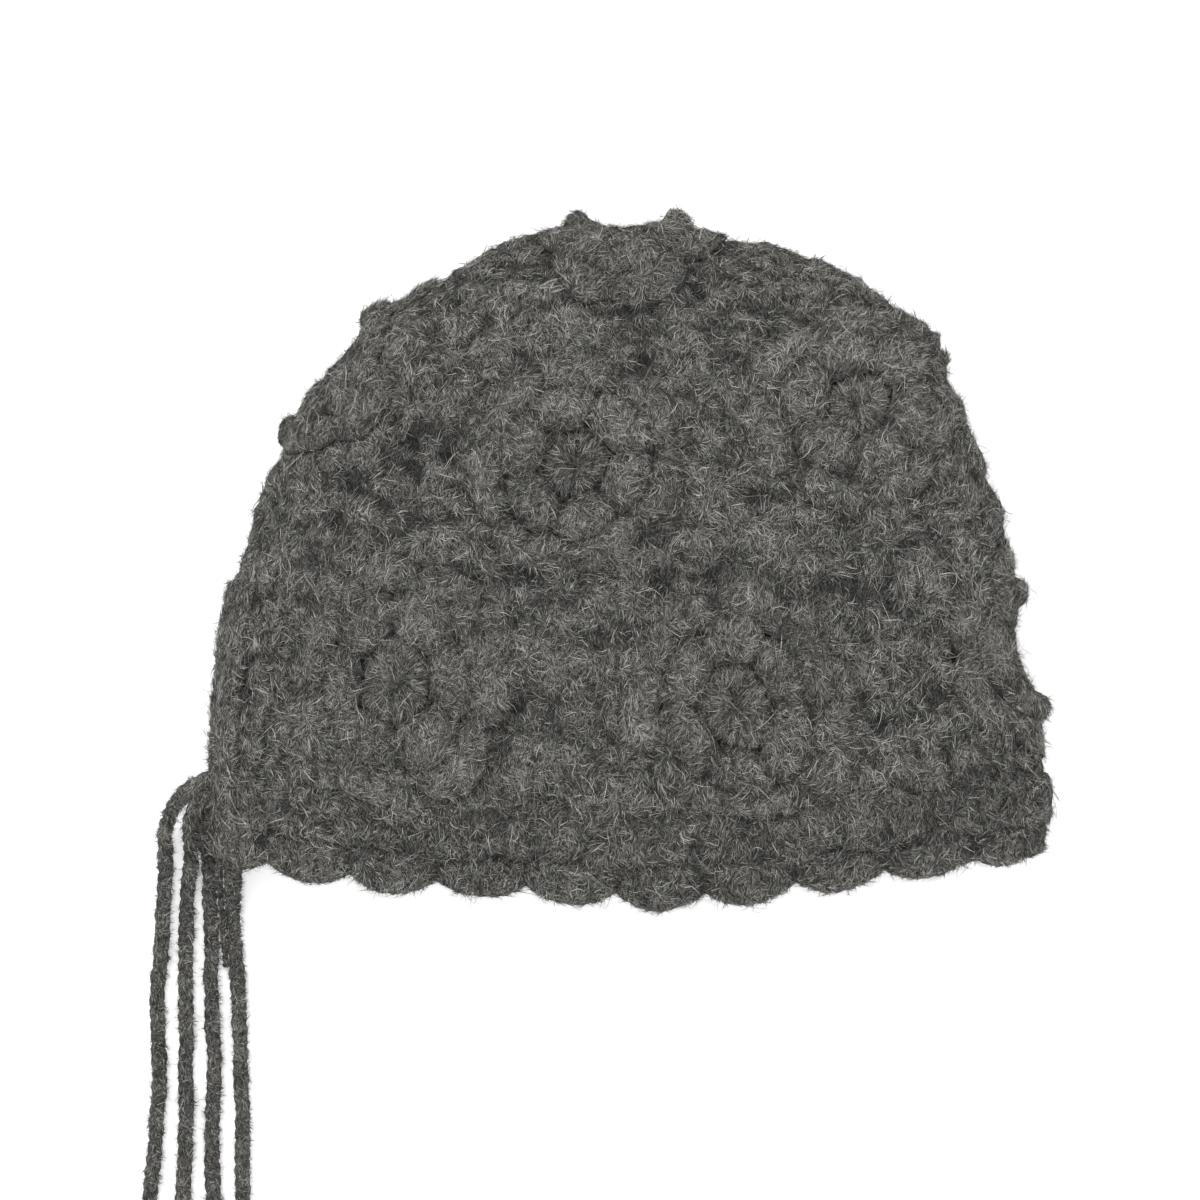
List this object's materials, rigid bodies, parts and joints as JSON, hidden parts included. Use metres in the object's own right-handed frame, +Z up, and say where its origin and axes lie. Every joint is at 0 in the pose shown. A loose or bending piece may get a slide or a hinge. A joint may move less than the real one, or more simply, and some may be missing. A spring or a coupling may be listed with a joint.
{
  "type": "crochet bonnet",
  "caption": "Thick fuzzy crochet bonnet of raised rose motifs with a scalloped rim, a slit in one side and long tie cords, lying flat on its side.",
  "frame": {"origin": "middle of the bonnet's footprint on the surface it lies on, without its cords", "axes": "+X across the bonnet from fold to fold, +Y from the rim to the top of the crown, +Z up from the surface"},
  "size_m": [0.2862, 0.3233, 0.0649],
  "materials": {
    "crown_wool": "fuzzy heather wool crochet",
    "petal_wool": "fuzzy heather wool crochet",
    "edging_wool": "fuzzy heather wool crochet",
    "cord_wool": "crocheted wool chain"
  },
  "bodies": {
    "root": {"crown": "crown_wool", "rim_band": "edging_wool", "scallop_edging": "edging_wool", "slit_edge_upper": "edging_wool", "slit_edge_lower": "edging_wool", "rose_a_heart": "petal_wool", "rose_a_inner_petals": "petal_wool", "rose_a_outer_petals": "petal_wool", "rose_b_heart": "petal_wool", "rose_b_inner_petals": "petal_wool", "rose_b_outer_petals": "petal_wool", "rose_c_heart": "petal_wool", "rose_c_inner_petals": "petal_wool", "rose_c_outer_petals": "petal_wool", "rose_d_heart": "petal_wool", "rose_d_inner_petals": "petal_wool", "rose_d_outer_petals": "petal_wool", "rose_top_heart": "petal_wool", "rose_top_inner_petals": "petal_wool", "rose_top_outer_petals": "petal_wool", "rose_left_heart": "petal_wool", "rose_left_inner_petals": "petal_wool", "rose_left_outer_petals": "petal_wool", "rose_right_heart": "petal_wool", "rose_right_inner_petals": "petal_wool", "rose_right_outer_petals": "petal_wool", "rose_e_heart": "petal_wool", "rose_e_inner_petals": "petal_wool", "rose_e_outer_petals": "petal_wool", "rose_f_heart": "petal_wool", "rose_f_inner_petals": "petal_wool", "rose_f_outer_petals": "petal_wool", "rose_g_heart": "petal_wool", "rose_g_inner_petals": "petal_wool", "rose_g_outer_petals": "petal_wool", "rose_h_heart": "petal_wool", "rose_h_inner_petals": "petal_wool", "rose_h_outer_petals": "petal_wool", "tie_cord_1": "cord_wool", "tie_knot_1": "cord_wool", "tie_cord_2": "cord_wool", "tie_knot_2": "cord_wool", "tie_cord_3": "cord_wool", "tie_knot_3": "cord_wool", "tie_cord_4": "cord_wool", "tie_knot_4": "cord_wool", "yarn_tail": "cord_wool"}
  },
  "joints": []
}
